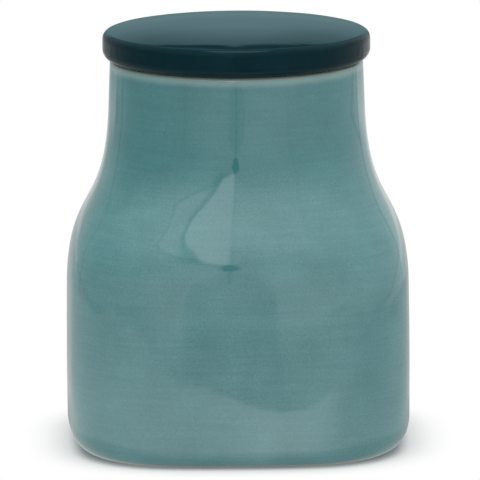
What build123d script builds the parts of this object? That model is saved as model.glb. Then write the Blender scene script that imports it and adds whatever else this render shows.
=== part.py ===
from build123d import *
from math import asin, cos, degrees, sin, sqrt
import os

os.makedirs("parts", exist_ok=True)

# Olive jar of glazed stoneware: a rounded square pot that turns into a round neck,
# closed by a loose round lid whose spigot carries a soft seal ring.
# The origin is the centre of the foot, where it stands. All sizes are in millimetres.

# Pot, outside
body_width = 125.0  # across two opposite sides, at the widest
side_radius = 260.0  # the four sides bow out gently
corner_radius = 38.0
wall_height = 59.0  # from the table to where the wall starts to lean in
shoulder_rise = 64.0  # from there to where the shoulder has become the neck
neck_length = 17.0  # from there to the lip
neck_radius = 46.0  # outside, at the lip
neck_flare = 0.6  # how much wider the neck is at its foot
wall_pull_share = 0.51  # share of the shoulder's rise over which the wall's lean tells
neck_pull_share = 0.62  # share of it over which the neck's lean tells
foot_radius = 10.0  # round of the bottom edge
lip_chamfer = 1.2
bore_chamfer = 0.9  # inside the lip, where it guides the seal in

# Pot, inside
wall = 5.0
floor_thickness = 6.5
floor_chamfer = 6.0
neck_wall = 4.8

# Unglazed foot ring under the pot
foot_ring_width = 4.5
foot_ring_depth = 1.8
foot_ring_chamfer = 0.8

# Lid
lid_overhang = 2.6  # how far the lid stands out past the lip
lid_edge_height = 9.9
lid_rise = 4.3  # how much higher the middle of the top is than its edge
lid_top_round = 2.8
lid_bottom_round = 3.6
lid_crown = 8.2  # stoneware left over the middle of the hollow underside
lid_hollow_chamfer = 2.5
spigot_clearance = 1.4
spigot_depth = 11.5
spigot_wall = 5.2
spigot_chamfer = 0.9

# Seal ring and its groove in the spigot
groove_depth = 2.3
groove_height = 6.2
groove_drop = 2.6  # from the underside of the lid to the groove
seal_clearance = 0.25
seal_band = 1.9  # radial thickness of the ring's band
fin_count = 2
fin_thickness = 0.9
fin_rise = 0.7  # the fins lean up, the way the neck drags them

# Every cut runs past the surface that it opens by this much
overrun = 2.0

# The shoulder and the rounds are made of narrow straight bands, which keeps the part
# light. Each band of the shoulder leans eight degrees or less from the next.
shoulder_bands = 12
hollow_bands = 6
arc_bands = 4

# Heights stack up from the table. Tangent side and corner arcs meet at the turn, an
# angle in radians from the middle of a side.
half_width = body_width / 2
bore_radius = neck_radius - neck_wall
lid_radius = neck_radius + lid_overhang
neck_foot_height = wall_height + shoulder_rise
jar_height = neck_foot_height + neck_length
side_offset = half_width - side_radius
radius_step = side_radius - corner_radius
corner_reach = (side_offset + sqrt(2 * radius_step**2 - side_offset**2)) / 2
turn = asin(corner_reach / radius_step)
swing = degrees(turn)
corner_share = cos(turn) - sin(turn)
side_share = side_radius / half_width


def pot_section(half, squareness, height, inset):
    # Four bowed sides and four round corners, tangent all the way round, or a circle
    # where the squareness is zero. The inset is a wall's thickness, and half is the
    # half width of the outline that lies this far inside the pot's own. Every section
    # has the same eight arcs, so that the surface runs on from one to the next.
    half = half + inset
    side = half * (1 + (side_share - 1) * squareness)
    corner = (half - (1 - corner_share) * side) / corner_share
    reach = (side - corner) * sin(turn)
    arcs = []
    for quarter in range(4):
        start = 90 * quarter - swing
        middle = start + 2 * swing
        side_plane = Plane(Vector(half - side, 0, height).rotate(Axis.Z, 90 * quarter))
        corner_plane = Plane(Vector(reach, reach, height).rotate(Axis.Z, 90 * quarter))
        arcs.append(Edge.make_circle(side - inset, side_plane, start, middle))
        arcs.append(Edge.make_circle(corner - inset, corner_plane, middle, start + 90))
    return Face(Wire(arcs))


def squareness_at(height):
    # Square up to the shoulder, round from the foot of the neck, eased between them
    share = (neck_foot_height - height) / shoulder_rise
    share = min(max(share, 0), 1)
    return share * share * (3 - 2 * share)


def places_along(line, bands):
    return [line @ (band / bands) for band in range(bands + 1)]


def section_at(place, inset):
    # The pot's section at a place of its side view, half width against height
    return pot_section(place.X, squareness_at(place.Y), place.Y, inset)


def in_bands(side):
    # A side view again, with each of its arcs drawn as short straight runs
    points = []
    for edge in side.outer_wire().order_edges():
        bands = arc_bands if edge.geom_type == GeomType.CIRCLE else 1
        points += [edge @ (band / bands) for band in range(bands)]
    return Face(Wire.make_polygon(points))


# Side view of the pot: the round of its foot, and above the upright wall the shoulder,
# which starts upright too and runs on into the slight lean of the neck
foot_centre = (half_width - foot_radius, foot_radius)
foot_line = CenterArc(foot_centre, foot_radius, 270, 90)
wall_pull = shoulder_rise * wall_pull_share
neck_pull = shoulder_rise * neck_pull_share
lip_foot_height = jar_height - lip_chamfer
neck_line = Line((neck_radius + neck_flare, neck_foot_height), (neck_radius, lip_foot_height))
shoulder_line = Bezier(
    (half_width, wall_height),
    (half_width, wall_height + wall_pull),
    neck_line @ 0 - (neck_line % 0) * neck_pull,
    neck_line @ 0,
)

# The hollow follows it a wall's thickness inside, and ends upright at the neck's bore
hollow_half = half_width - wall
hollow_line = Bezier(
    (hollow_half, wall_height),
    (hollow_half, wall_height + wall_pull),
    (bore_radius, neck_foot_height - neck_pull),
    (bore_radius, neck_foot_height),
)

foot_ring_inset = foot_radius + foot_ring_width
foot_hollow = pot_section(half_width - foot_ring_inset, 1, 0, foot_ring_inset)

# Sections of the pot from the table to its eased lip, and of the hollow from the floor
# to the foot of the neck
pot_sections = []
for place in places_along(foot_line, arc_bands):
    pot_sections.append(section_at(place, half_width - place.X))
for place in places_along(shoulder_line, shoulder_bands):
    pot_sections.append(section_at(place, 0))
pot_sections.append(pot_section(neck_radius, 0, lip_foot_height, 0))
pot_sections.append(pot_section(neck_radius - lip_chamfer, 0, jar_height, 0))
hollow_sections = [pot_section(hollow_half, 1, floor_thickness, wall)]
for place in places_along(hollow_line, hollow_bands):
    hollow_sections.append(section_at(place, wall))

with BuildPart() as jar:
    loft(pot_sections, ruled=True)
    loft(hollow_sections, ruled=True, mode=Mode.SUBTRACT)
    with BuildSketch(Plane.XY.offset(neck_foot_height)):
        Circle(bore_radius)
    extrude(amount=neck_length + overrun, mode=Mode.SUBTRACT)
    floor_face = jar.faces().filter_by(GeomType.PLANE).sort_by(Axis.Z)[1]
    chamfer(floor_face.edges(), floor_chamfer)

    lip_face = jar.faces().filter_by(GeomType.PLANE).sort_by(Axis.Z)[-1]
    chamfer(lip_face.inner_wires()[0].edges(), bore_chamfer)

    # Shallow hollow inside the foot ring
    extrude(foot_hollow, amount=foot_ring_depth, dir=(0, 0, 1), mode=Mode.SUBTRACT)
    foot_face = jar.faces().filter_by(GeomType.PLANE).sort_by(Axis.Z)[0]
    chamfer(foot_face.inner_wires()[0].edges(), foot_ring_chamfer)

jar.part.label = "jar"
export_step(jar.part, "parts/jar.step")

# Lid, turned about the jar's axis. Its underside rests on the lip.
lid_edge_top = jar_height + lid_edge_height
lid_top = lid_edge_top + lid_rise
spigot_radius = bore_radius - spigot_clearance
spigot_bottom = jar_height - spigot_depth
hollow_radius = spigot_radius - spigot_wall
hollow_top = lid_top - lid_crown
groove_radius = spigot_radius - groove_depth
groove_top = jar_height - groove_drop
groove_bottom = groove_top - groove_height

# Half of the lid, from the side
with BuildSketch() as lid_side:
    with BuildLine():
        TangentArc((0, lid_top), (lid_radius, lid_edge_top), tangent=(1, 0))
        Polyline(
            (lid_radius, lid_edge_top),
            (lid_radius, jar_height),
            (spigot_radius, jar_height),
            (spigot_radius, groove_top),
            (groove_radius, groove_top),
            (groove_radius, groove_bottom),
            (spigot_radius, groove_bottom),
            (spigot_radius, spigot_bottom),
            (hollow_radius, spigot_bottom),
            (hollow_radius, hollow_top),
            (0, hollow_top),
            (0, lid_top),
        )
    make_face()
    rim = lid_side.vertices().group_by(Axis.X)[-1]
    fillet(rim.sort_by(Axis.Y)[-1], lid_top_round)
    rim = lid_side.vertices().group_by(Axis.X)[-1]
    fillet(rim.sort_by(Axis.Y)[0], lid_bottom_round)
    chamfer(lid_side.vertices().group_by(Axis.Y)[0], spigot_chamfer)
    hollow_corner = lid_side.vertices().sort_by_distance((hollow_radius, hollow_top))[0]
    chamfer(hollow_corner, lid_hollow_chamfer)

lid_half = in_bands(lid_side.face())

with BuildPart() as lid:
    with BuildSketch(Plane.XZ):
        add(lid_half)
    revolve(axis=Axis.Z)

lid.part.label = "lid"
export_step(lid.part, "parts/lid.step")

# Seal ring: a band that lies in the groove, with fins that lean up against the bore
band_inner = groove_radius + seal_clearance
band_outer = band_inner + seal_band
band_bottom = groove_bottom + seal_clearance
band_top = groove_top - seal_clearance
fin_tip = bore_radius - seal_clearance
fin_pitch = (band_top - band_bottom - fin_rise) / fin_count

with BuildPart() as seal_ring:
    with BuildSketch(Plane.XZ) as seal_side:
        with BuildLine():
            Polyline(
                (band_inner, band_bottom),
                (band_outer, band_bottom),
                (band_outer, band_top),
                (band_inner, band_top),
                close=True,
            )
        make_face()
        for fin in range(fin_count):
            fin_bottom = band_bottom + fin_pitch * fin
            with BuildLine():
                Polyline(
                    (band_outer - seal_band / 2, fin_bottom),
                    (fin_tip, fin_bottom + fin_rise),
                    (fin_tip, fin_bottom + fin_rise + fin_thickness),
                    (band_outer - seal_band / 2, fin_bottom + fin_thickness),
                    close=True,
                )
            make_face()
    revolve(axis=Axis.Z)

seal_ring.part.label = "seal_ring"
export_step(seal_ring.part, "parts/seal_ring.step")
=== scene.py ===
import math

import bpy
import numpy as np
from mathutils import Matrix, Vector, noise


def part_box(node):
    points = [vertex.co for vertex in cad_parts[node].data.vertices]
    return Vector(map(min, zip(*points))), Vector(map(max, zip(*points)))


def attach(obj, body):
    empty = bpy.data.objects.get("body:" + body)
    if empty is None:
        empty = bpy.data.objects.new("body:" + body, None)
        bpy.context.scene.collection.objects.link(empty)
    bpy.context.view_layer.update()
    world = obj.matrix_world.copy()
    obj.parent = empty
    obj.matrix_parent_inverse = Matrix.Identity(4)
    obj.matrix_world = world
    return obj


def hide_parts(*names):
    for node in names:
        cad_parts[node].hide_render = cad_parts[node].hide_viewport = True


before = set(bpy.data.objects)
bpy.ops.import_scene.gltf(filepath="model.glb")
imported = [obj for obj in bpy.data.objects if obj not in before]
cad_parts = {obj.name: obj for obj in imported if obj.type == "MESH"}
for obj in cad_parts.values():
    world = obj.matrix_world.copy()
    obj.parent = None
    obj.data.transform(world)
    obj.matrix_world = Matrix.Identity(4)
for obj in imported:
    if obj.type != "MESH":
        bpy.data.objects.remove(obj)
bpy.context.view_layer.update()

# Olive jar of glazed stoneware, about life size. Lengths are in millimetres unless a note
# says otherwise, and each mesh is turned into metres as it is made.
mm = 0.001
jarLow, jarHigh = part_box("jar")
jarHalf = (jarHigh.x - jarLow.x) / 2 / mm
jarHeight = jarHigh.z / mm


def linear(hexColour):
    # sRGB hex to the linear colour that the shaders expect
    channels = [int(hexColour[i:i + 2], 16) / 255 for i in (1, 3, 5)]
    return [c / 12.92 if c <= 0.04045 else ((c + 0.055) / 1.055) ** 2.4 for c in channels] + [1.0]


def addNode(tree, kind, inputs=None, links=None, **settings):
    # One node with its settings, its typed-in values and its incoming links
    node = tree.nodes.new(kind)
    for name, value in settings.items():
        setattr(node, name, value)
    for socket, value in (inputs or {}).items():
        node.inputs[socket].default_value = value
    for socket, source in (links or {}).items():
        tree.links.new(source, node.inputs[socket])
    return node


def startMaterial(name):
    material = bpy.data.materials.new(name)
    material.use_nodes = True
    material.node_tree.nodes.clear()
    return material, material.node_tree


def addObject(name, data):
    thing = bpy.data.objects.new(name, data)
    bpy.context.scene.collection.objects.link(thing)
    return thing


def smoothPiece(name, points, faces, materials, faceMaterials=None):
    mesh = bpy.data.meshes.new(name)
    mesh.from_pydata(points, [], faces)
    for material in materials:
        mesh.materials.append(material)
    if faceMaterials:
        mesh.polygons.foreach_set("material_index", faceMaterials)
    mesh.polygons.foreach_set("use_smooth", [True] * len(mesh.polygons))
    mesh.validate()
    return addObject(name, mesh)


def bandFaces(lower, upper, around):
    # Faces between two rings, which are given by the number of their first point
    pairs = [(i, (i + 1) % around) for i in range(around)]
    return [(lower + i, lower + j, upper + j, upper + i) for i, j in pairs]


def skinPiece(name, rings, materials, ringMaterials=None):
    # Skin over rings of equal counts. The first and the last close on a middle point.
    rings = rings * mm
    count, around = rings.shape[:2]
    points = list(map(tuple, rings.reshape(-1, 3)))
    firstMiddle, lastMiddle, last = len(points), len(points) + 1, (count - 1) * around
    points += [tuple(rings[0].mean(0)), tuple(rings[-1].mean(0))]
    faces = [(firstMiddle, (i + 1) % around, i) for i in range(around)]
    for k in range(count - 1):
        faces += bandFaces(k * around, (k + 1) * around, around)
    faces += [(last + i, last + (i + 1) % around, lastMiddle) for i in range(around)]
    faceRings = np.repeat([0, *range(count)], around)
    faceMaterials = [ringMaterials[k] for k in faceRings] if ringMaterials else None
    return smoothPiece(name, points, faces, materials, faceMaterials)


def turned(profile, around):
    # Rings of a side view that is turned about the jar's axis
    angles = np.linspace(0, 2 * math.pi, around, endpoint=False)
    rings = [[x * np.cos(angles), x * np.sin(angles), np.full(around, z)] for x, z in profile]
    return np.array(rings).transpose(0, 2, 1)


def arcPoints(centre, radius, startDegrees, endDegrees, steps):
    # Points on an arc of a side view, both ends included
    angles = np.radians(np.linspace(startDegrees, endDegrees, steps + 1))
    return [(centre[0] + radius * math.cos(a), centre[1] + radius * math.sin(a)) for a in angles]


def linePoints(start, end, spacing):
    # Points on a straight run, without its end
    steps = max(1, round(math.dist(start, end) / spacing))
    return [tuple(np.add(start, np.subtract(end, start) * (i / steps))) for i in range(steps)]


def bezierPoints(a, b, c, d, spacing):
    # Points on a curve from a to d that b and c pull, without its end
    a, b, c, d = map(np.array, (a, b, c, d))
    steps = round(np.linalg.norm(d - a) / spacing)
    return [a * (1 - t) ** 3 + b * 3 * t * (1 - t) ** 2 + c * 3 * t * t * (1 - t) + d * t ** 3
            for t in (i / steps for i in range(steps))]


# Camera, as far and as high as the photograph's
cameraSet = {
    "distance": 3000.0,
    "pitch": 10.382,  # degrees that it looks down
    "turn": -1.037,  # degrees that it stands off the jar's front, about the jar's axis
    "roll": -0.321,  # degrees
    "targetSide": 0.95,
    "targetHeight": 72.9,
    "lens": 617.85,
    "sensor": 36.0,
    "near": 100.0,
    "far": 50000.0,
}


def placeCamera(c):
    pitch, roll = math.radians(c["pitch"]), math.radians(c["roll"])
    forward = Vector((0, math.cos(pitch), -math.sin(pitch)))
    up = Vector((0, math.sin(pitch), math.cos(pitch)))
    side = Vector((1, 0, 0))
    rolledSide = side * math.cos(roll) + up * math.sin(roll)
    rolledUp = up * math.cos(roll) - side * math.sin(roll)
    place = Vector((c["targetSide"], 0, c["targetHeight"])) - forward * c["distance"]
    axes = Matrix((rolledSide, rolledUp, -forward)).transposed().to_4x4()
    around = Matrix.Rotation(math.radians(c["turn"]), 4, "Z")
    data = bpy.data.cameras.new("camera")
    data.sensor_width = c["sensor"]
    data.lens = c["lens"]
    data.clip_start, data.clip_end = c["near"] * mm, c["far"] * mm
    camera = addObject("camera", data)
    camera.matrix_world = around @ Matrix.Translation(place * mm) @ axes
    bpy.context.scene.camera = camera


placeCamera(cameraSet)
print("camera placed")


# Drops are measured down from the lip. A pair says where a colour starts and where it is full.
jarGlaze = {
    "deep": "#38686B",
    "even": "#467779",
    "pale": "#568688",
    "tones": (0.3, 0.5, 0.7),  # where these three lie on the mixed pattern
    "pooled": "#BAE8EA",  # takes red out on the neck, where the glaze lies thicker
    "pooledDrop": (46.0, 26.0),
    "lip": "#799795",  # paler where it runs off the edge
    "lipDrop": (4.6, 1.1),
    "lipShare": 0.7,
    "thin": "#8C9A8E",  # the body shows through where the glaze draws back from an edge
    "thinDrop": (1.4, 0.4),
    "ragged": 0.8,  # how far the last two wander up and down
    "grain": 0.55,  # mottling of the melt, drawn coarser than the real one so that it shows
    "grainShare": 0.42,
    "grainDepth": 0.0012,
    "cloud": 16.0,  # slow drift in how thick the glaze lies
    "cloudShare": 0.3,
    "streakHeight": 1.2,  # turning marks under the glaze
    "streakLength": 26.0,
    "streakShare": 0.2,
    "streakDepth": 0.006,
    "roughness": 0.06,
    "roughnessSpread": 0.02,
    "ior": 1.52,
}


def celadonStoneware(g):
    # Celadon glaze, dipped and fired glossy: depth of colour, fine mottling, faint level marks
    material, tree = startMaterial("celadon_glaze_dipped")
    spot = addNode(tree, "ShaderNodeTexCoord").outputs["Object"]
    split = addNode(tree, "ShaderNodeSeparateXYZ", links={0: spot})
    grain = addNode(tree, "ShaderNodeTexNoise", {"Scale": 1 / (g["grain"] * mm), "Detail": 2.0},
                    {"Vector": spot})
    cloud = addNode(tree, "ShaderNodeTexNoise", {"Scale": 1 / (g["cloud"] * mm), "Detail": 3.0},
                    {"Vector": spot})
    wide, tall = 1 / (g["streakLength"] * mm), 1 / (g["streakHeight"] * mm)
    level = addNode(tree, "ShaderNodeMapping", {"Scale": (wide, wide, tall)}, {"Vector": spot})
    streak = addNode(tree, "ShaderNodeTexNoise", {"Scale": 1.0, "Detail": 4.0, "Roughness": 0.6},
                     {"Vector": level.outputs[0]})
    mix = addNode(tree, "ShaderNodeMath", {1: g["cloudShare"]}, {0: cloud.outputs["Fac"]},
                  operation="MULTIPLY")
    mix = addNode(tree, "ShaderNodeMath", {1: g["grainShare"]},
                  {0: grain.outputs["Fac"], 2: mix.outputs[0]}, operation="MULTIPLY_ADD")
    mix = addNode(tree, "ShaderNodeMath", {1: g["streakShare"]},
                  {0: streak.outputs["Fac"], 2: mix.outputs[0]}, operation="MULTIPLY_ADD")
    ramp = addNode(tree, "ShaderNodeValToRGB", links={0: mix.outputs[0]})
    deep, pale = ramp.color_ramp.elements
    deep.position, even, pale.position = g["tones"]
    deep.color = linear(g["deep"])
    pale.color = linear(g["pale"])
    ramp.color_ramp.elements.new(even).color = linear(g["even"])
    # Colours by height. The two at the lip have an uneven lower edge.
    ragged = addNode(tree, "ShaderNodeMath", {1: 2 * g["ragged"] * mm, 2: -g["ragged"] * mm},
                     {0: cloud.outputs["Fac"]}, operation="MULTIPLY_ADD")
    height = addNode(tree, "ShaderNodeMath", links={0: split.outputs["Z"], 1: ragged.outputs[0]},
                     operation="ADD")
    start, full = ((jarHeight - drop) * mm for drop in g["thinDrop"])
    thin = addNode(tree, "ShaderNodeMapRange", {"From Min": start, "From Max": full},
                   {"Value": height.outputs[0]}, interpolation_type="SMOOTHSTEP")
    start, full = ((jarHeight - drop) * mm for drop in g["lipDrop"])
    lip = addNode(tree, "ShaderNodeMapRange",
                  {"From Min": start, "From Max": full, "To Max": g["lipShare"]},
                  {"Value": height.outputs[0]}, interpolation_type="SMOOTHERSTEP")
    start, full = ((jarHeight - drop) * mm for drop in g["pooledDrop"])
    pooled = addNode(tree, "ShaderNodeMapRange", {"From Min": start, "From Max": full},
                     {"Value": split.outputs["Z"]}, interpolation_type="SMOOTHSTEP")
    glazed = addNode(tree, "ShaderNodeMix", {"B": linear(g["pooled"])},
                     {"Factor": pooled.outputs[0], "A": ramp.outputs[0]},
                     data_type="RGBA", blend_type="MULTIPLY")
    glazed = addNode(tree, "ShaderNodeMix", {"B": linear(g["lip"])},
                     {"Factor": lip.outputs[0], "A": glazed.outputs["Result"]}, data_type="RGBA")
    glazed = addNode(tree, "ShaderNodeMix", {"B": linear(g["thin"])},
                     {"Factor": thin.outputs[0], "A": glazed.outputs["Result"]}, data_type="RGBA")
    shine = addNode(tree, "ShaderNodeMapRange", {"To Min": g["roughness"] - g["roughnessSpread"],
                                                 "To Max": g["roughness"] + g["roughnessSpread"]},
                    {"Value": cloud.outputs["Fac"]})
    bump = addNode(tree, "ShaderNodeBump", {"Distance": g["grainDepth"] * mm},
                   {"Height": grain.outputs["Fac"]})
    bump = addNode(tree, "ShaderNodeBump", {"Distance": g["streakDepth"] * mm},
                   {"Height": streak.outputs["Fac"], "Normal": bump.outputs[0]})
    shader = addNode(tree, "ShaderNodeBsdfPrincipled", {"IOR": g["ior"]},
                     {"Base Color": glazed.outputs["Result"], "Roughness": shine.outputs[0],
                      "Normal": bump.outputs[0]})
    addNode(tree, "ShaderNodeOutputMaterial", links={"Surface": shader.outputs[0]})
    return material


lidGlaze = {
    "deep": "#061D22",
    "even": "#082329",
    "tones": (0.38, 0.62),
    "grain": 0.55,  # drawn coarser than the real one, as on the jar
    "grainShare": 0.5,
    "grainDepth": 0.0012,
    "cloud": 12.0,  # slow drift in how thick it lies
    "cloudShare": 0.5,
    "roughness": 0.05,
    "ior": 1.5,
    "mirror": 0.05,  # it mirrors weakly, and blue
    "mirrorTint": "#B0ECFF",
}


def petrolStoneware(g):
    # Petrol glaze, poured and fired glossy: almost black, with a faint mottling
    material, tree = startMaterial("petrol_glaze_poured")
    spot = addNode(tree, "ShaderNodeTexCoord").outputs["Object"]
    grain = addNode(tree, "ShaderNodeTexNoise", {"Scale": 1 / (g["grain"] * mm), "Detail": 2.0},
                    {"Vector": spot})
    cloud = addNode(tree, "ShaderNodeTexNoise", {"Scale": 1 / (g["cloud"] * mm), "Detail": 3.0},
                    {"Vector": spot})
    mix = addNode(tree, "ShaderNodeMath", {1: g["cloudShare"]}, {0: cloud.outputs["Fac"]},
                  operation="MULTIPLY")
    mix = addNode(tree, "ShaderNodeMath", {1: g["grainShare"]},
                  {0: grain.outputs["Fac"], 2: mix.outputs[0]}, operation="MULTIPLY_ADD")
    ramp = addNode(tree, "ShaderNodeValToRGB", links={0: mix.outputs[0]})
    deep, even = ramp.color_ramp.elements
    deep.position, even.position = g["tones"]
    deep.color = linear(g["deep"])
    even.color = linear(g["even"])
    bump = addNode(tree, "ShaderNodeBump", {"Distance": g["grainDepth"] * mm},
                   {"Height": grain.outputs["Fac"]})
    shader = addNode(tree, "ShaderNodeBsdfPrincipled",
                     {"IOR": g["ior"], "Roughness": g["roughness"], "Specular IOR Level": g["mirror"],
                      "Specular Tint": linear(g["mirrorTint"])},
                     {"Base Color": ramp.outputs[0], "Normal": bump.outputs[0]})
    addNode(tree, "ShaderNodeOutputMaterial", links={"Surface": shader.outputs[0]})
    return material


clay = {"even": "#B9A68C", "dark": "#9A866C", "grain": 0.8, "grainDepth": 0.05, "roughness": 0.85}


def bareStoneware(c):
    # Stoneware, fired bare: dry, buff and slightly mottled
    material, tree = startMaterial("stoneware_bare_fired")
    spot = addNode(tree, "ShaderNodeTexCoord").outputs["Object"]
    grain = addNode(tree, "ShaderNodeTexNoise", {"Scale": 1 / (c["grain"] * mm), "Detail": 4.0},
                    {"Vector": spot})
    colour = addNode(tree, "ShaderNodeMix", {"A": linear(c["dark"]), "B": linear(c["even"])},
                     {"Factor": grain.outputs["Fac"]}, data_type="RGBA")
    bump = addNode(tree, "ShaderNodeBump", {"Distance": c["grainDepth"] * mm},
                   {"Height": grain.outputs["Fac"]})
    shader = addNode(tree, "ShaderNodeBsdfPrincipled", {"Roughness": c["roughness"]},
                     {"Base Color": colour.outputs["Result"], "Normal": bump.outputs[0]})
    addNode(tree, "ShaderNodeOutputMaterial", links={"Surface": shader.outputs[0]})
    return material


silicone = {
    "even": "#D8D9D2",
    "shade": "#C9CAC2",
    "grain": 1.2,
    "grainDepth": 0.01,
    "roughness": 0.42,
    "ior": 1.41,
    "milk": 0.25,  # share of the light that goes into it
    "milkDepth": 1.5,
}


def mouldedSilicone(s):
    # Silicone, moulded: milky, with a soft sheen
    material, tree = startMaterial("silicone_moulded")
    spot = addNode(tree, "ShaderNodeTexCoord").outputs["Object"]
    grain = addNode(tree, "ShaderNodeTexNoise", {"Scale": 1 / (s["grain"] * mm), "Detail": 3.0},
                    {"Vector": spot})
    colour = addNode(tree, "ShaderNodeMix", {"A": linear(s["shade"]), "B": linear(s["even"])},
                     {"Factor": grain.outputs["Fac"]}, data_type="RGBA")
    bump = addNode(tree, "ShaderNodeBump", {"Distance": s["grainDepth"] * mm},
                   {"Height": grain.outputs["Fac"]})
    shader = addNode(tree, "ShaderNodeBsdfPrincipled",
                     {"Roughness": s["roughness"], "IOR": s["ior"], "Subsurface Weight": s["milk"],
                      "Subsurface Scale": s["milkDepth"] * mm},
                     {"Base Color": colour.outputs["Result"], "Normal": bump.outputs[0]})
    addNode(tree, "ShaderNodeOutputMaterial", links={"Surface": shader.outputs[0]})
    return material


celadon = celadonStoneware(jarGlaze)
petrol = petrolStoneware(lidGlaze)
bareClay = bareStoneware(clay)
sealSilicone = mouldedSilicone(silicone)
print("materials made")


pot = {
    "sideRadius": 260.0,
    "cornerRadius": 38.0,
    "wallHeight": 59.0,
    "wallBow": 0.25,  # how much the wall swells halfway up
    "shoulderRise": 64.0,
    "wallPullShare": 0.51,  # of the shoulder's rise
    "neckPullShare": 0.62,
    "neckRadius": 46.0,
    "neckFlare": 0.6,
    "footRound": 10.0,
    "lipOuterRound": 1.7,
    "lipInnerRound": 1.1,
    "wall": 5.0,
    "neckWall": 4.8,
    "floor": 6.5,
    "floorRound": 7.0,
    "ringWidth": 4.5,  # bare ring under the foot
    "ringDepth": 1.8,
    "ringEase": 0.8,
    "ringEaseShare": 0.3,  # where the eased edge has its middle point
    "ringMiddle": 1.5,
    "bareHeight": 0.25,  # the glaze is wiped off up to here
    # Points along each side and corner, and the distances and counts of the rings
    "sidePoints": 40,
    "cornerPoints": 40,
    "recessShares": (0.08, 0.3, 0.55, 0.8, 0.97),
    "footSteps": 26,
    "ringSpacing": 0.7,
    "shoulderSpacing": 0.602,
    "lipOuterSteps": 8,
    "lipInnerSteps": 6,
    "boreStart": 1.0,  # below the round of the lip
    "hollowSpacing": 3.3,
    "floorSteps": 10,
    "floorShares": (0.9, 0.7, 0.5, 0.3, 0.1),
    # The maker's hand: slow unevenness of the glazed wall, and level turning marks
    "wobble": 0.035,
    "wobbleLength": 24.0,
    "ripple": 0.0035,
    "rippleHeight": 2.4,
    "rippleLength": 26.0,
    "trueFoot": 0.3,  # the foot is true up to here
    "trueFade": 4.0,
}
neckFoot = pot["wallHeight"] + pot["shoulderRise"]
bore = pot["neckRadius"] - pot["neckWall"]


def potRing(p, half, squareness, inset, height):
    # Four bowed sides and four round corners, tangent to each other, or a circle where the
    # squareness is zero. The inset is how far the ring lies inside an outline of this half.
    offset = jarHalf - p["sideRadius"]
    step = p["sideRadius"] - p["cornerRadius"]
    turn = math.asin((offset + math.sqrt(2 * step ** 2 - offset ** 2)) / 2 / step)
    cornerShare = math.cos(turn) - math.sin(turn)
    side = half * (1 + (p["sideRadius"] / jarHalf - 1) * squareness)
    corner = (half - (1 - cornerShare) * side) / cornerShare
    reach = (side - corner) * math.sin(turn)
    t = np.linspace(-turn, turn, p["sidePoints"], endpoint=False)
    u = np.linspace(turn, math.pi / 2 - turn, p["cornerPoints"], endpoint=False)
    x = np.concatenate([half - side + (side - inset) * np.cos(t), reach + (corner - inset) * np.cos(u)])
    y = np.concatenate([(side - inset) * np.sin(t), reach + (corner - inset) * np.sin(u)])
    return np.stack([np.concatenate([x, -y, -x, y]), np.concatenate([y, x, -y, -x]),
                     np.full(4 * len(x), height)], 1)


def squareAt(p, height):
    share = min(max((neckFoot - height) / p["shoulderRise"], 0), 1)
    return share * share * (3 - 2 * share)


def underRings(p):
    # The shallow hollow under the foot, its eased edge and the ring that it stands on
    half = jarHalf - p["wallBow"]
    inset = p["footRound"] + p["ringWidth"]
    ease, partEase = p["ringEase"], p["ringEase"] * p["ringEaseShare"]
    recess = potRing(p, half, 1, inset, p["ringDepth"])
    rings = [recess * (share, share, 1) for share in p["recessShares"]]
    rings.append(recess)
    rings.append(potRing(p, half, 1, inset, ease))
    rings.append(potRing(p, half, 1, inset - partEase, partEase))
    rings.append(potRing(p, half, 1, inset - ease, 0))
    rings.append(potRing(p, half, 1, p["footRound"] + p["ringMiddle"], 0))
    return rings


def outerRings(p):
    # The round of the foot and the wall, which swells a little, then shoulder, neck and lip
    middle = p["wallHeight"] / 2
    bowRadius = (middle ** 2 + p["wallBow"] ** 2) / (2 * p["wallBow"])

    def wallHalf(height):
        return jarHalf - bowRadius + math.sqrt(bowRadius ** 2 - (height - middle) ** 2)

    bend = p["footRound"]
    foot = arcPoints((0, bend), bend, 270, 360, p["footSteps"])[:-1]
    rings = [potRing(p, wallHalf(bend), 1, bend - x, z) for x, z in foot]
    wall = linePoints((0, bend), (0, p["wallHeight"]), p["ringSpacing"])
    rings += [potRing(p, wallHalf(z), 1, 0, z) for x, z in wall]

    slope = middle / math.sqrt(bowRadius ** 2 - middle ** 2)
    wallEnd = np.array((wallHalf(p["wallHeight"]), p["wallHeight"]))
    neckStart = np.array((p["neckRadius"] + p["neckFlare"], neckFoot))
    lean = np.array((-p["neckFlare"], jarHeight - neckFoot))
    lean = lean / np.linalg.norm(lean)
    upWall = wallEnd + np.array((-slope, 1)) * p["shoulderRise"] * p["wallPullShare"]
    downNeck = neckStart - lean * p["shoulderRise"] * p["neckPullShare"]
    shoulder = bezierPoints(wallEnd, upWall, downNeck, neckStart, p["shoulderSpacing"])
    rings += [potRing(p, x, squareAt(p, z), 0, z) for x, z in shoulder]

    bend = p["lipOuterRound"]
    neck = linePoints(neckStart, (p["neckRadius"], jarHeight - bend), p["ringSpacing"])
    neck += arcPoints((p["neckRadius"] - bend, jarHeight - bend), bend, 0, 90, p["lipOuterSteps"])
    return rings + [potRing(p, x, 0, 0, z) for x, z in neck]


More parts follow.
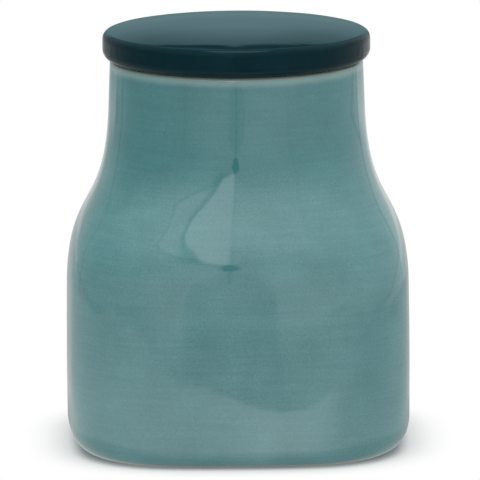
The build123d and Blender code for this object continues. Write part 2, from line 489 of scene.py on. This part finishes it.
def innerRings(p):
    # Down from the lip through the bore and the hollow to the middle of the floor
    bend = p["lipInnerRound"]
    neck = arcPoints((bore + bend, jarHeight - bend), bend, 90, 180, p["lipInnerSteps"])
    neck += linePoints((bore, jarHeight - bend - p["boreStart"]), (bore, neckFoot), p["hollowSpacing"])
    rings = [potRing(p, x, 0, 0, z) for x, z in neck]

    hollow = jarHalf - p["wall"]
    downNeck = (bore, neckFoot - p["shoulderRise"] * p["neckPullShare"])
    upWall = (hollow, p["wallHeight"] + p["shoulderRise"] * p["wallPullShare"])
    shoulder = bezierPoints((bore, neckFoot), downNeck, upWall, (hollow, p["wallHeight"]),
                            p["hollowSpacing"])
    rings += [potRing(p, x + p["wall"], squareAt(p, z), p["wall"], z) for x, z in shoulder]

    bend = p["floorRound"]
    floorTop = p["floor"] + bend
    wall = linePoints((0, p["wallHeight"]), (0, floorTop), p["hollowSpacing"])
    wall += arcPoints((0, floorTop), bend, 0, -90, p["floorSteps"])
    rings += [potRing(p, jarHalf, 1, p["wall"] + (bend - x if z <= floorTop else 0), z) for x, z in wall]
    floor = potRing(p, jarHalf, 1, p["wall"] + bend, p["floor"])
    return rings + [floor * (share, share, 1) for share in p["floorShares"]]


def unevenWall(p, rings):
    # Only inward, so that the pot stays inside its size
    around = np.roll(rings, -1, 1) - np.roll(rings, 1, 1)
    along = np.gradient(rings, axis=0)
    normals = np.cross(around, along)
    normals /= np.maximum(np.linalg.norm(normals, axis=2, keepdims=True), 1e-9)
    moved = rings.copy()
    for k, i in np.ndindex(rings.shape[:2]):
        x, y, z = rings[k, i]
        if z >= p["trueFoot"]:
            slow = noise.noise(Vector((x, y, z)) / p["wobbleLength"])
            level = Vector((x / p["rippleLength"], y / p["rippleLength"], z / p["rippleHeight"]))
            fade = min(1, (z - p["trueFoot"]) / p["trueFade"])
            inward = p["wobble"] * (slow - 1) + p["ripple"] * (noise.noise(level) - 1)
            moved[k, i] += normals[k, i] * fade * inward
    return moved


def makePot(p):
    under = underRings(p)
    rings = np.array(under + outerRings(p) + innerRings(p))
    bare = [int(k < len(under) or ring[0, 2] < p["bareHeight"]) for k, ring in enumerate(rings)]
    return skinPiece("jar_pot", unevenWall(p, rings), [celadon, bareClay], bare)


jar = makePot(pot)
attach(jar, "pot")
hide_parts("jar")
print("pot made:", len(jar.data.polygons), "faces")


lid = {
    "edgeHeight": 9.9,
    "rise": 4.3,
    "overhang": 2.6,
    "topRound": 2.8,
    "bottomRound": 3.9,
    "crown": 8.2,  # stoneware left over the hollow underside
    "hollowRound": 2.5,
    "spigotClearance": 1.4,
    "spigotDepth": 11.5,
    "spigotWall": 5.2,
    "spigotRound": 0.9,
    "grooveDepth": 2.3,
    "grooveHeight": 6.2,
    "grooveDrop": 2.6,
    "grooveEase": 0.25,
    # Points round each ring, and the distances and counts along the side view
    "around": 320,
    "domeSteps": 70,
    "topSteps": 14,
    "edgeSpacing": 0.4,
    "bottomSteps": 16,
    "underSpacing": 1.0,
    "spigotSteps": 6,
    "hollowSpacing": 1.6,
    "hollowSteps": 8,
    "runStart": 0.5,  # from a round to the first point of the straight run after it
    "ceilingStart": 1.0,
    "ceilingSpacing": 3.0,
    "ceilingEnd": 1.5,
    # Slow unevenness of the glazed top and edge
    "wobble": 0.04,
    "wobbleLength": 15.0,
    "wobbleStretch": 1.5,
    "wobblePlace": (7.0, 3.0, 5.0),  # in the noise, apart from the pot's
    "trueFoot": 0.2,  # the underside is true up to here
    "topBand": 0.5,  # from this far below the top edge it moves down, not in
}


def lidProfile(p, radius):
    # Side view of the lid from the middle of its top round to the middle of its underside
    top = jarHeight + p["edgeHeight"] + p["rise"]
    domeRadius = (radius ** 2 + p["rise"] ** 2) / (2 * p["rise"])
    # The round of the top edge touches the dome and the upright side
    bend = p["topRound"]
    centreX = radius - bend
    centreZ = top - domeRadius + math.sqrt((domeRadius - bend) ** 2 - centreX ** 2)
    lean = math.degrees(math.atan2(centreX, centreZ - (top - domeRadius)))
    points = arcPoints((0, top - domeRadius), domeRadius, 90, 90 - lean, p["domeSteps"])[1:-1]
    points += arcPoints((centreX, centreZ), bend, 90 - lean, 0, p["topSteps"])

    bend, spacing = p["bottomRound"], p["edgeSpacing"]
    spigot = bore - p["spigotClearance"]
    ease = p["grooveEase"]
    points += linePoints((radius, centreZ - spacing), (radius, jarHeight + bend), spacing)
    points += arcPoints((radius - bend, jarHeight + bend), bend, 0, -90, p["bottomSteps"])
    points += linePoints((radius - bend - p["runStart"], jarHeight), (spigot + ease, jarHeight),
                         p["underSpacing"])

    grooveTop = jarHeight - p["grooveDrop"]
    grooveBottom = grooveTop - p["grooveHeight"]
    groove = spigot - p["grooveDepth"]
    points += [
        (spigot + ease, jarHeight),
        (spigot, jarHeight - ease),
        (spigot, grooveTop + ease),
        (spigot - ease, grooveTop),
        (groove + ease, grooveTop),
        (groove, grooveTop - ease),
        (groove, grooveBottom + ease),
        (groove + ease, grooveBottom),
        (spigot - ease, grooveBottom),
        (spigot, grooveBottom - ease),
    ]

    bend = p["spigotRound"]
    bottom = jarHeight - p["spigotDepth"]
    inner = spigot - p["spigotWall"]
    points += arcPoints((spigot - bend, bottom + bend), bend, 0, -90, p["spigotSteps"])
    points += arcPoints((inner + bend, bottom + bend), bend, -90, -180, p["spigotSteps"])
    runStart = bottom + bend + p["runStart"]

    bend = p["hollowRound"]
    ceiling = top - p["crown"]
    points += linePoints((inner, runStart), (inner, ceiling - bend), p["hollowSpacing"])
    points += arcPoints((inner - bend, ceiling - bend), bend, 0, 90, p["hollowSteps"])
    points += linePoints((inner - bend - p["ceilingStart"], ceiling), (p["ceilingEnd"], ceiling),
                         p["ceilingSpacing"])
    return points


def unevenLid(p, rings):
    moved = rings.copy()
    for k, i in np.ndindex(rings.shape[:2]):
        x, y, z = rings[k, i]
        if z > jarHeight + p["trueFoot"]:
            spot = Vector((x, y, z * p["wobbleStretch"])) / p["wobbleLength"] + Vector(p["wobblePlace"])
            inward = p["wobble"] * (noise.noise(spot) - 1)
            if z > jarHeight + p["edgeHeight"] - p["topBand"]:
                moved[k, i, 2] += inward
            else:
                moved[k, i, :2] *= 1 + inward / math.hypot(x, y)
    return moved


def makeLid(p):
    rings = turned(lidProfile(p, pot["neckRadius"] + p["overhang"]), p["around"])
    return skinPiece("lid_cover", unevenLid(p, rings)[::-1], [petrol])


cover = makeLid(lid)
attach(cover, "cover")
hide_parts("lid")
print("lid made:", len(cover.data.polygons), "faces")


seal = {
    "clearance": 0.25,
    "band": 1.9,
    "ease": 0.15,
    "fins": 2,
    "finThickness": 0.9,
    "finRise": 0.7,  # the fins lean up by this much
    "rootShare": 0.5,  # of that rise, at their root
    "rootDrop": 0.1,  # from the upper fin's start down to the band
    "rootOut": 0.05,  # how far a fin's root stands out of the band
    "tipEase": 0.03,
    "around": 200,
}


def sealProfile(s, p):
    # Outline of the ring's section: a band in the groove, with fins up against the bore
    inner = bore - p["spigotClearance"] - p["grooveDepth"] + s["clearance"]
    outer = inner + s["band"]
    top = jarHeight - p["grooveDrop"] - s["clearance"]
    bottom = jarHeight - p["grooveDrop"] - p["grooveHeight"] + s["clearance"]
    pitch = (top - bottom - s["finRise"]) / s["fins"]
    tip, root, ease = bore - s["clearance"], outer + s["rootOut"], s["ease"]
    points = [(inner + ease, bottom), (outer - ease, bottom)]
    for fin in range(s["fins"]):
        start = bottom + pitch * fin
        rootStart = start + s["finRise"] * s["rootShare"]
        tipStart = start + s["finRise"]
        tipEnd = tipStart + s["finThickness"]
        if fin:
            points.append((outer, start - s["rootDrop"]))
        points += [(root, rootStart), (tip - ease, tipStart), (tip, tipStart + ease), (tip, tipEnd - ease),
                   (tip - ease, tipEnd - s["tipEase"]), (root, rootStart + s["finThickness"])]
    points += [(outer - ease, top), (inner + ease, top), (inner, top - ease), (inner, bottom + ease)]
    return points


def makeSeal(s, p):
    profile = sealProfile(s, p)
    around, count = s["around"], len(profile)
    points = list(map(tuple, (turned(profile, around) * mm).reshape(-1, 3)))
    faces = []
    for k in range(count):
        faces += bandFaces(k * around, (k + 1) % count * around, around)
    return smoothPiece("seal_ring_soft", points, faces, [sealSilicone])


ring = makeSeal(seal, lid)
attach(ring, "seal")
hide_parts("seal_ring")
print("seal ring made:", len(ring.data.polygons), "faces")


# Floor, light, and the light tent that the glazes mirror. The tent shows only in mirrored
# rays, so that plain even light falls on the jar. A brightness of 1 is paper white, azimuths
# are degrees from the camera round to the right, and elevations are degrees.
tent = {
    "half": 370.0,
    "height": 740.0,
    "eye": (0.0, -40.0, 85.0),  # the walls' brightness goes by direction from here
    # Distances between the points of its sheets
    "spacing": 10.0,
    "upSpacing": 4.0,
    "frontSpacing": 6.0,
    "fineSpacing": 1.6,
    "fineHalf": 70.0,  # where the front wall's points lie closer
}
walls = {
    # Azimuth and the brightness there, low and high on the walls
    "low": [(-180, 0.7), (-165, 0.58), (-153, 0.5), (-141, 0.64), (-124, 0.74), (-112, 0.7), (-96, 0.8),
            (-82, 0.92), (-64, 1.15), (-45, 1.3), (-20, 1.65), (0, 1.75), (20, 1.85), (45, 1.85), (64, 1.6),
            (82, 1.38), (96, 1.24), (112, 1.1), (130, 0.96), (141, 1.0), (150, 0.82), (160, 0.68),
            (180, 0.68)],
    "high": [(-180, 0.4), (-120, 0.95), (-96, 1.2), (-72, 1.4), (-48, 1.85), (0, 2.05), (24, 1.9),
             (72, 1.75), (96, 1.65), (120, 1.5), (180, 0.4)],
    "change": (24.0, 46.0),  # elevations between which low gives way to high
    # A dimmer band round the walls, as azimuth and share of the light that it takes
    "dim": [(-180, 0.2), (50, 0.2), (75, 0.06), (180, 0.06)],
    "dimElevation": 19.0,
    "dimSpread": 11.0,
    # Upright seams, as azimuth from the jar's axis and share of the light that they take
    "seams": [(-120, 0.4), (-45, 0.12), (45, 0.12), (135, 0.4)],
    "seamSpread": 1.3,
}


def smooth(low, high, value):
    share = np.clip((value - low) / (high - low), 0, 1)
    return share * share * (3 - 2 * share)


def bell(value, middle, spread):
    return np.exp(-((value - middle) / spread) ** 2)


def alongTable(table, value):
    return np.interp(value, [pair[0] for pair in table], [pair[1] for pair in table])


def wallGlow(places):
    # Brightness of any wall, before what hangs on it
    x, y, z = (places - tent["eye"]).T
    azimuth = np.degrees(np.arctan2(x, -y))
    elevation = np.degrees(np.arctan2(z, np.hypot(x, y)))
    low, high = alongTable(walls["low"], azimuth), alongTable(walls["high"], azimuth)
    glow = low + (high - low) * smooth(*walls["change"], elevation)
    dimmed = bell(elevation, walls["dimElevation"], walls["dimSpread"])
    glow *= 1 - alongTable(walls["dim"], azimuth) * dimmed
    around = np.degrees(np.arctan2(places[:, 0], -places[:, 1]))
    for seam, depth in walls["seams"]:
        glow *= 1 - depth * bell(around, seam, walls["seamSpread"])
    return glow


# The paper ends on the side walls in a dark line, given as along and height
sideWalls = {
    "lineLeft": [(-150, -9), (11, 3), (93, 18), (180, 48), (300, 60)],
    "lineRight": [(-150, -9), (40, 10), (110, 35), (160, 60), (240, 75), (300, 85)],
    "lineSpread": 7.0,
    "lineDepth": 0.3,
}


def sideGlow(places):
    s = sideWalls
    x, y, z = places.T
    line = np.where(x < 0, alongTable(s["lineLeft"], y), alongTable(s["lineRight"], y))
    return wallGlow(places) * (1 - s["lineDepth"] * bell(z, line, s["lineSpread"]))


roofLamp = {"halfAcross": 120.0, "halfAlong": 250.0, "edge": 20.0, "brightness": 6.0}


def roofGlow(places):
    r = roofLamp
    across = smooth(r["halfAcross"] - r["edge"], r["halfAcross"] + r["edge"], np.abs(places[:, 0]))
    along = smooth(r["halfAlong"] - r["edge"], r["halfAlong"] + r["edge"], np.abs(places[:, 1]))
    glow = wallGlow(places)
    return glow + (1 - across) * (1 - along) * (r["brightness"] - glow)


# A dim arch before the jar, on the front wall and on the table below it
arch = {
    "halfWidth": 58.0,
    "nearShare": 0.32,  # of its width, on the table right at the jar
    "top": 128.0,
    "power": 2.4,  # 2 is an ellipse
    "edge": (0.92, 1.1),
    "left": 0.66,  # share of the light left in it
    "leftAbove": 0.14,  # how much more is left between these heights and up
    "above": (20.0, 70.0),
    "leftNear": 0.24,  # and on the table from the wall towards the paper
    "near": (-370.0, -220.0),
}


def archShare(places):
    x, y, z = places.T
    width = arch["halfWidth"] * (arch["nearShare"] + (1 - arch["nearShare"]) * np.abs(y) / tent["half"])
    out = (np.abs(x) / width) ** arch["power"] + (np.maximum(z, 0) / arch["top"]) ** arch["power"]
    left = arch["left"] + arch["leftAbove"] * smooth(*arch["above"], z)
    left = left + arch["leftNear"] * smooth(*arch["near"], y)
    return 1 - (1 - left) * (1 - smooth(*arch["edge"], out))


# Front wall: a flap hangs over the opening that the camera looks through
frontWall = {
    # Its two edges, as height and across
    "flapInner": [(177, -2), (180, -21), (190, -38), (205, -47), (235, -55), (260, -60), (310, -74),
                  (345, -86), (400, -108), (450, -127), (480, -134), (740, -150)],
    "flapOuter": [(186, -7), (232, -70), (279, -132), (350, -210), (428, -284), (520, -350), (740, -370)],
    "flapBrightness": 2.1,
    "flapEdge": 3.0,
    "foldDepth": 0.5,  # along its inner edge
    "foldSpread": 19.0,
    "foldShift": -7.0,
    "creaseDepth": 0.4,  # along its outer edge
    "creaseSpread": 12.0,
    "gapBrightness": 2.85,  # between the flap and the line straight above the opening
    "gapEnd": -3.0,
    "gapEdge": 6.0,
    # Its fainter twin on the other side
    "twinBrighter": 0.12,
    "twinStart": 8.0,
    "twinShare": 0.8,  # of the first one's reach
    "twinEdge": 6.0,
    # Opening, and a slit below it
    "holeAcross": -2.0,
    "holeHeight": 158.0,
    "holeHalfWidth": 14.0,
    "holeHalfHeight": 19.0,
    "holeDepth": 0.95,
    "slitAcross": -3.0,
    "slitHalfWidth": 2.2,
    "slitBottom": 86.0,
    "slitTop": 140.0,
    "slitDepth": 0.6,
}


def frontGlow(places):
    f = frontWall
    x, y, z = places.T
    glow = wallGlow(places)
    inner, outer = alongTable(f["flapInner"], z), alongTable(f["flapOuter"], z)
    bottom, edge = f["flapInner"][0][0], f["flapEdge"]
    above = smooth(bottom - edge, bottom + edge, z)
    flap = above * (x < inner) * smooth(-edge, edge, x - outer)
    glow += flap * (f["flapBrightness"] - glow)
    twin = above * smooth(0, f["twinStart"], x)
    twin = twin * smooth(-f["twinEdge"], f["twinEdge"], -f["twinShare"] * outer - x)
    glow *= 1 + f["twinBrighter"] * twin
    fold = above * bell(x, inner + f["foldShift"], f["foldSpread"]) * (x < f["gapEnd"])
    crease = above * bell(x, outer, f["creaseSpread"]) * (x < inner)
    glow *= (1 - f["foldDepth"] * fold) * (1 - f["creaseDepth"] * crease)
    gap = above * (x < f["gapEnd"]) * smooth(0, f["gapEdge"], x - inner)
    glow += gap * (f["gapBrightness"] - glow)
    glow *= archShare(places)
    slit = (np.abs(x - f["slitAcross"]) < f["slitHalfWidth"]) & (z > f["slitBottom"]) & (z < f["slitTop"])
    hole = np.hypot((x - f["holeAcross"]) / f["holeHalfWidth"], (z - f["holeHeight"]) / f["holeHalfHeight"])
    return glow * (1 - f["slitDepth"] * slit) * (1 - f["holeDepth"] * (hole < 1))


rearWall = {
    # Height and the brightness there, in the middle and at its flanks
    "middle": [(0, 0.7), (60, 0.75), (90, 0.2), (140, 0.32), (174, 0.5), (201, 0.57), (228, 0.72),
               (252, 0.91), (272, 0.98), (291, 0.945), (310, 0.885), (345, 0.83)],
    "flank": [(0, 0.7), (60, 0.75), (90, 0.2), (140, 0.32), (174, 0.5), (203, 0.59), (225, 0.69),
              (255, 0.7), (280, 0.66), (345, 0.6)],
    "flankReach": (10.0, 62.0),  # from the middle to where the second table holds
    "middleReach": (72.0, 105.0),  # from the middle, where both give way to the wall
    "widen": 75.0,  # how much further they reach above these heights
    "widenHeight": (110.0, 150.0),
    # Their top edge falls away from the middle, with a dark line along it
    "top": 360.0,
    "topFall": 0.5,
    "topLine": (-4.0, 16.0),
    "topLineDepth": 0.9,
    "above": 0.45,  # brightness over it
    "tint": "#C8F7FF",
    "tintHeight": (60.0, 110.0),
    # A brighter band on the wall beside them, stronger on the left
    "bandHeight": 56.0,
    "bandSpread": 14.0,
    "bandLeft": 0.4,
    "bandRight": 0.3,
    "footRight": (15.0, 45.0),  # low on its right only this share of the light is left
    "footRightLeft": 0.85,
}


def rearGlow(places):
    r = rearWall
    x, y, z = places.T
    away = np.abs(x)
    outer = smooth(*r["middleReach"], away - r["widen"] * smooth(*r["widenHeight"], z))
    middle, flank = alongTable(r["middle"], z), alongTable(r["flank"], z)
    middle += (flank - middle) * smooth(*r["flankReach"], away)
    overTop = z - (r["top"] - r["topFall"] * away)
    middle += (overTop > 0) * (r["above"] - middle)
    lineStart, lineEnd = r["topLine"]
    middle *= 1 - r["topLineDepth"] * ((overTop > lineStart) & (overTop < lineEnd))
    sides = wallGlow(places)
    band = np.where(x < 0, r["bandLeft"], r["bandRight"]) * bell(z, r["bandHeight"], r["bandSpread"])
    foot = (x > 0) * (1 - smooth(*r["footRight"], z))
    sides *= (1 + band) * (1 - (1 - r["footRightLeft"]) * foot)
    glow = middle + (sides - middle) * outer
    tint = np.array(linear(r["tint"])[:3])
    tinting = (1 - outer) * smooth(*r["tintHeight"], z)
    return glow[:, None] * (1 + (tint - 1) * tinting[:, None])


# Floor of the tent: paper under the jar, and the table that it lies on
paper = {
    # Its front edge, as across and along
    "edge": [(-370, -152), (-302, -246), (-240, -280), (-173, -292), (-102, -265), (-60, -246), (-42, -220),
             (-21, -215), (-8, -200), (8, -176), (25, -164), (37, -160), (52, -169), (110, -191),
             (185, -190), (258, -201), (322, -174), (370, -100)],
    "tear": 4.0,  # how uneven that edge is
    "tearLength": 9.0,
    "fineTearShare": 0.6,
    "fineTearLength": 3.0,
    "fineTearPlace": 5.0,  # in the noise, apart from the wider tears
    # Azimuth from the jar's axis and the brightness there
    "glow": [(-180, 0.42), (-150, 0.53), (-130, 0.66), (-110, 0.92), (-90, 1.24), (-70, 1.58), (-52, 1.86),
             (-37, 2.1), (-22, 2.1), (-7, 2.1), (7, 2.65), (22, 2.5), (37, 1.84), (52, 1.5), (70, 1.25),
             (90, 1.0), (110, 0.76), (130, 0.6), (150, 0.48), (180, 0.42)],
    "fall": (150.0, 330.0),  # between these distances it loses these shares
    "fallFront": 0.3,
    "fallRear": -0.1,
    # Distances from the foot over which it darkens, and the share of the light left at the foot
    "footFront": (-8.0, 8.0, 0.1),
    "footRear": (-8.0, 45.0, 0.42),
    "footTurn": (20.0, 70.0),  # azimuths between which front gives way to rear
    "tableBrightness": 0.82,
    # Distances between its points
    "spacing": 8.0,
    "fineSpacing": 1.6,
    "fineHalf": 80.0,
    "frontRow": 0.08,  # share of the way to its front edge
}
footPower = 3.0  # of the rounded square that the foot draws on the floor


def paperGlow(places):
    p = paper
    x, y, z = places.T
    azimuth = np.degrees(np.arctan2(x, -y))
    fall = p["fallRear"] + (p["fallFront"] - p["fallRear"]) * (1 + np.cos(np.radians(azimuth))) / 2
    glow = alongTable(p["glow"], azimuth) * (1 - fall * smooth(*p["fall"], np.hypot(x, y)))
    toRear = smooth(*p["footTurn"], np.abs(azimuth))
    start, end, left = (a + (b - a) * toRear for a, b in zip(p["footFront"], p["footRear"]))
    fromFoot = (np.abs(x) ** footPower + np.abs(y) ** footPower) ** (1 / footPower) - jarHalf
    return glow * (left + (1 - left) * smooth(start, end, fromFoot))


def tableGlow(places):
    return wallGlow(places) * paper["tableBrightness"] * archShare(places)


def plainGlow(places):
    return np.ones(len(places))


def sheetMesh(name, sheets):
    # One mesh of sheets of rows and columns of places, square to the camera, where each has
    # a function that gives the glow at its places. The glow is kept as a colour.
    turn = np.array(Matrix.Rotation(math.radians(cameraSet["turn"]), 3, "Z"))
    points, faces, colours = [], [], []
    for places, glowOf in sheets:
        first = len(points)
        rows, columns = places.shape[:2]
        flat = places.reshape(-1, 3)
        glow = glowOf(flat)
        points += list(map(tuple, flat * mm @ turn.T))
        shown = glow if glow.ndim == 2 else glow[:, None] * np.ones(3)
        colours.append(np.column_stack([shown, np.ones(len(flat))]))
        for row in range(rows - 1):
            for at in range(first + row * columns, first + (row + 1) * columns - 1):
                faces.append((at, at + 1, at + columns + 1, at + columns))
    mesh = bpy.data.meshes.new(name)
    mesh.from_pydata(points, [], faces)
    glows = mesh.attributes.new("glow", "FLOAT_COLOR", "POINT")
    glows.data.foreach_set("color", np.concatenate(colours).ravel())
    sheet = addObject(name, mesh)
    return sheet


def spaced(*runs):
    # Places along a line, in runs of their own spacing
    parts = [np.arange(start, end, step) for start, end, step in runs]
    return np.append(np.concatenate(parts), runs[-1][1])


def gridOf(across, up, place):
    return np.array([[place(a, b) for a in across] for b in up], dtype=float)


def litNylon():
    # Nylon, woven and lit from outside: a soft white glow, which only the glazes see
    material, tree = startMaterial("nylon_tent_lit")
    glow = addNode(tree, "ShaderNodeAttribute", attribute_name="glow")
    light = addNode(tree, "ShaderNodeEmission", links={"Color": glow.outputs["Color"]})
    addNode(tree, "ShaderNodeOutputMaterial", links={"Surface": light.outputs[0]})
    material.cycles.emission_sampling = "NONE"
    return material


def makeTent(t):
    half, height, fine = t["half"], t["height"], t["fineHalf"]
    even = spaced((-half, half, t["spacing"]))
    up = spaced((0, height, t["upSpacing"]))
    front = spaced((-half, -fine, t["frontSpacing"]), (-fine, fine, t["fineSpacing"]),
                   (fine, half, t["frontSpacing"]))
    sheet = sheetMesh("light_tent", [
        (gridOf(front, up, lambda a, b: (a, -half, b)), frontGlow),
        (gridOf(even, up, lambda a, b: (-half, a, b)), sideGlow),
        (gridOf(even, up, lambda a, b: (half, a, b)), sideGlow),
        (gridOf(even, up, lambda a, b: (a, half, b)), rearGlow),
        (gridOf(even, even, lambda a, b: (a, b, height)), roofGlow),
    ])
    sheet.data.materials.append(litNylon())
    for rays in ("camera", "diffuse", "transmission", "shadow", "volume_scatter"):
        setattr(sheet, "visible_" + rays, False)


studio = {
    "floorColour": "#D2D2D2",
    "floorReach": 3000.0,
    "fadeStart": -9.0,  # from the jar's foot to where its shadow starts to give way to white
    "fadeEnd": 17.5,
    "frontScale": 1.045,  # the shadow reaches less far in front
    "bounce": 1.3,  # light that the white table throws back up
    "bounceNear": 0.6,  # share of it close to the jar
    "ambient": 0.62,
    "overheadSize": (1500.0, 1300.0),
    "overheadHeight": 1150.0,
    "overheadBrightness": 3.35,
}


def mattPaper(s):
    # Paper, rolled and matt: soft shadows and no shine. It keeps the jar's shadow and turns
    # to white away from it. Glazes mirror its glow, and dull surfaces see its bounce.
    material, tree = startMaterial("paper_sweep_matt")
    spot = addNode(tree, "ShaderNodeTexCoord").outputs["Object"]
    split = addNode(tree, "ShaderNodeSeparateXYZ", links={0: spot})
    powers = []
    for axis, scale in (("X", 1.0), ("Y", s["frontScale"])):
        size = addNode(tree, "ShaderNodeMath", links={0: split.outputs[axis]}, operation="ABSOLUTE")
        size = addNode(tree, "ShaderNodeMath", {1: scale}, {0: size.outputs[0]}, operation="MULTIPLY")
        power = addNode(tree, "ShaderNodeMath", {1: footPower}, {0: size.outputs[0]}, operation="POWER")
        powers.append(power.outputs[0])
    away = addNode(tree, "ShaderNodeMath", links={0: powers[0], 1: powers[1]}, operation="ADD")
    away = addNode(tree, "ShaderNodeMath", {1: 1 / footPower}, {0: away.outputs[0]}, operation="POWER")
    far = addNode(tree, "ShaderNodeMapRange",
                  {"From Min": (jarHalf + s["fadeStart"]) * mm, "From Max": (jarHalf + s["fadeEnd"]) * mm},
                  {"Value": away.outputs[0]}, interpolation_type="SMOOTHSTEP")
    path = addNode(tree, "ShaderNodeLightPath")
    mirrored = addNode(tree, "ShaderNodeMath",
                       links={0: path.outputs["Is Glossy Ray"], 1: path.outputs["Is Transmission Ray"]},
                       operation="MAXIMUM")
    seen = addNode(tree, "ShaderNodeMath", links={0: far.outputs[0], 1: path.outputs["Is Camera Ray"]},
                   operation="MULTIPLY")
    dull = addNode(tree, "ShaderNodeBsdfDiffuse", {"Color": linear(s["floorColour"])})
    white = addNode(tree, "ShaderNodeEmission")
    shown = addNode(tree, "ShaderNodeMixShader",
                    links={0: seen.outputs[0], 1: dull.outputs[0], 2: white.outputs[0]})
    lit = addNode(tree, "ShaderNodeMath",
                  {1: (1 - s["bounceNear"]) * s["bounce"], 2: s["bounceNear"] * s["bounce"]},
                  {0: far.outputs[0]}, operation="MULTIPLY_ADD")
    bounce = addNode(tree, "ShaderNodeEmission", links={"Strength": lit.outputs[0]})
    shown = addNode(tree, "ShaderNodeMixShader",
                    links={0: path.outputs["Is Diffuse Ray"], 1: shown.outputs[0], 2: bounce.outputs[0]})
    glow = addNode(tree, "ShaderNodeAttribute", attribute_name="glow")
    light = addNode(tree, "ShaderNodeEmission", links={"Color": glow.outputs["Color"]})
    whole = addNode(tree, "ShaderNodeMixShader",
                    links={0: mirrored.outputs[0], 1: shown.outputs[0], 2: light.outputs[0]})
    addNode(tree, "ShaderNodeOutputMaterial", links={"Surface": whole.outputs[0]})
    material.cycles.emission_sampling = "NONE"
    return material


def makeFloor(s, p):
    inner, fine, reach = tent["half"], p["fineHalf"], s["floorReach"]
    across = spaced((-inner, -fine, p["spacing"]), (-fine, fine, p["fineSpacing"]),
                    (fine, inner, p["spacing"]))
    rows = spaced((-fine, fine, p["fineSpacing"]), (fine, inner, p["spacing"]))
    tears = []
    for a in across:
        wide = noise.noise(Vector((a / p["tearLength"], 0, 0)))
        fineTear = noise.noise(Vector((a / p["fineTearLength"], p["fineTearPlace"], 0)))
        tears.append(wide + p["fineTearShare"] * fineTear)
    edge = alongTable(p["edge"], across) + p["tear"] * np.array(tears)

    def rowsBetween(start, end):
        shares = spaced((0, 1, p["frontRow"]))
        return np.array([np.stack([across, start + (end - start) * share, 0 * across], 1)
                         for share in shares])

    sheets = [
        (rowsBetween(-inner, edge), tableGlow),
        (rowsBetween(edge, -fine), paperGlow),
        (gridOf(across, rows, lambda a, b: (a, b, 0)), paperGlow),
    ]
    # The floor outside the tent, in four strips
    for xEnds, yEnds in (((-reach, reach), (-reach, -inner)), ((-reach, reach), (inner, reach)),
                         ((-reach, -inner), (-inner, inner)), ((inner, reach), (-inner, inner))):
        sheets.append((gridOf(xEnds, yEnds, lambda a, b: (a, b, 0)), plainGlow))
    floor = sheetMesh("floor", sheets)
    floor.data.materials.append(mattPaper(s))


def makeWorld(s):
    # White to the camera, and a plain light to everything else
    world = bpy.data.worlds.new("studio")
    bpy.context.scene.world = world
    world.use_nodes = True
    tree = world.node_tree
    tree.nodes.clear()
    path = addNode(tree, "ShaderNodeLightPath")
    dim = addNode(tree, "ShaderNodeBackground", {"Color": (1, 1, 1, 1), "Strength": s["ambient"]})
    white = addNode(tree, "ShaderNodeBackground", {"Color": (1, 1, 1, 1)})
    both = addNode(tree, "ShaderNodeMixShader",
                   links={0: path.outputs["Is Camera Ray"], 1: dim.outputs[0], 2: white.outputs[0]})
    addNode(tree, "ShaderNodeOutputWorld", links={"Surface": both.outputs[0]})


def hangOverhead(s):
    data = bpy.data.lights.new("overhead", "AREA")
    data.shape = "RECTANGLE"
    data.size, data.size_y = (size * mm for size in s["overheadSize"])
    data.energy = s["overheadBrightness"] * math.pi * data.size * data.size_y
    overhead = addObject("overhead", data)
    overhead.location = (0, 0, s["overheadHeight"] * mm)
    overhead.visible_camera = False
    overhead.visible_glossy = False


makeFloor(studio, paper)
makeTent(tent)
makeWorld(studio)
hangOverhead(studio)
bpy.context.scene.view_settings.view_transform = "Standard"
print("floor and light made")
